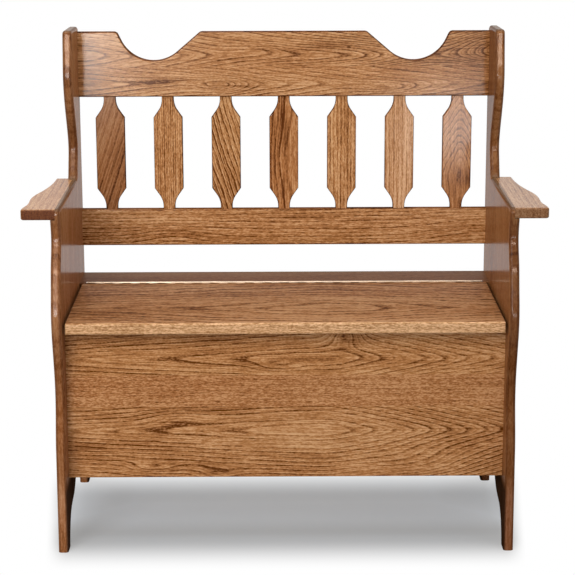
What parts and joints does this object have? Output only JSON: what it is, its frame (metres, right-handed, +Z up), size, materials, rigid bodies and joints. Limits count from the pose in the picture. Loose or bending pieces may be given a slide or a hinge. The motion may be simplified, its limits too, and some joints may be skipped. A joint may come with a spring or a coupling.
{
  "type": "hall bench",
  "caption": "Wooden hall bench with shaped solid end panels, broad flat arms, a slatted back under a scooped crest rail, and a hinged seat over a storage box.",
  "frame": {"origin": "on the floor, under the middle of the bench's overall box", "axes": "+Z up, the bench faces -Y, and +X is to the right of someone who looks at its front"},
  "size_m": [1.074, 0.4998, 1.0568],
  "materials": {
    "panel_wood": "satin lacquer over stained oak",
    "arm_wood": "satin lacquer over stained oak",
    "rail_wood": "satin lacquer over stained oak",
    "slat_wood": "satin lacquer over stained oak",
    "front_wood": "satin lacquer over stained oak",
    "lid_wood": "satin lacquer over stained oak",
    "strip_wood": "satin lacquer over stained oak",
    "batten_wood": "sanded, unstained",
    "inner_board": "sanded plywood",
    "cleat_wood": "sanded, unstained",
    "dowel_wood": "plain beech",
    "hinge_brass": "bright rolled brass",
    "hinge_pin": "plain drawn wire",
    "hinge_screw": "bright brass",
    "wood_screw": "zinc plated"
  },
  "bodies": {
    "bench": {"arm_dowels": "dowel_wood", "back_slat_1": "slat_wood", "back_slat_2": "slat_wood", "back_slat_3": "slat_wood", "back_slat_4": "slat_wood", "back_slat_5": "slat_wood", "back_slat_6": "slat_wood", "back_slat_7": "slat_wood", "bottom_cleat_back": "cleat_wood", "bottom_cleat_front": "cleat_wood", "bottom_cleat_left": "cleat_wood", "bottom_cleat_right": "cleat_wood", "box_back_panel": "inner_board", "box_bottom": "inner_board", "box_dowels": "dowel_wood", "cleat_screws": "wood_screw", "crest_rail": "rail_wood", "front_panel": "front_wood", "hinge_leaf_fixed": "hinge_brass", "hinge_pin": "hinge_pin", "hinge_screws_fixed": "hinge_screw", "left_arm": "arm_wood", "left_end_panel": "panel_wood", "lower_back_rail": "rail_wood", "rail_dowels": "dowel_wood", "rear_seat_strip": "strip_wood", "right_arm": "arm_wood", "right_end_panel": "panel_wood", "strip_cleat_left": "cleat_wood", "strip_cleat_right": "cleat_wood"},
    "lid": {"seat_lid": "lid_wood", "hinge_leaf_lid": "hinge_brass", "hinge_screws_lid": "hinge_screw", "lid_batten_left": "batten_wood", "lid_batten_right": "batten_wood", "lid_batten_screws": "wood_screw"}
  },
  "joints": [
    {"name": "lid_hinge", "type": "hinge", "parent": "bench", "child": "lid", "pos_m": [0, 0.1245, 0.4969], "axis": [-1, 0, 0], "range_deg": [0, 105]}
  ]
}
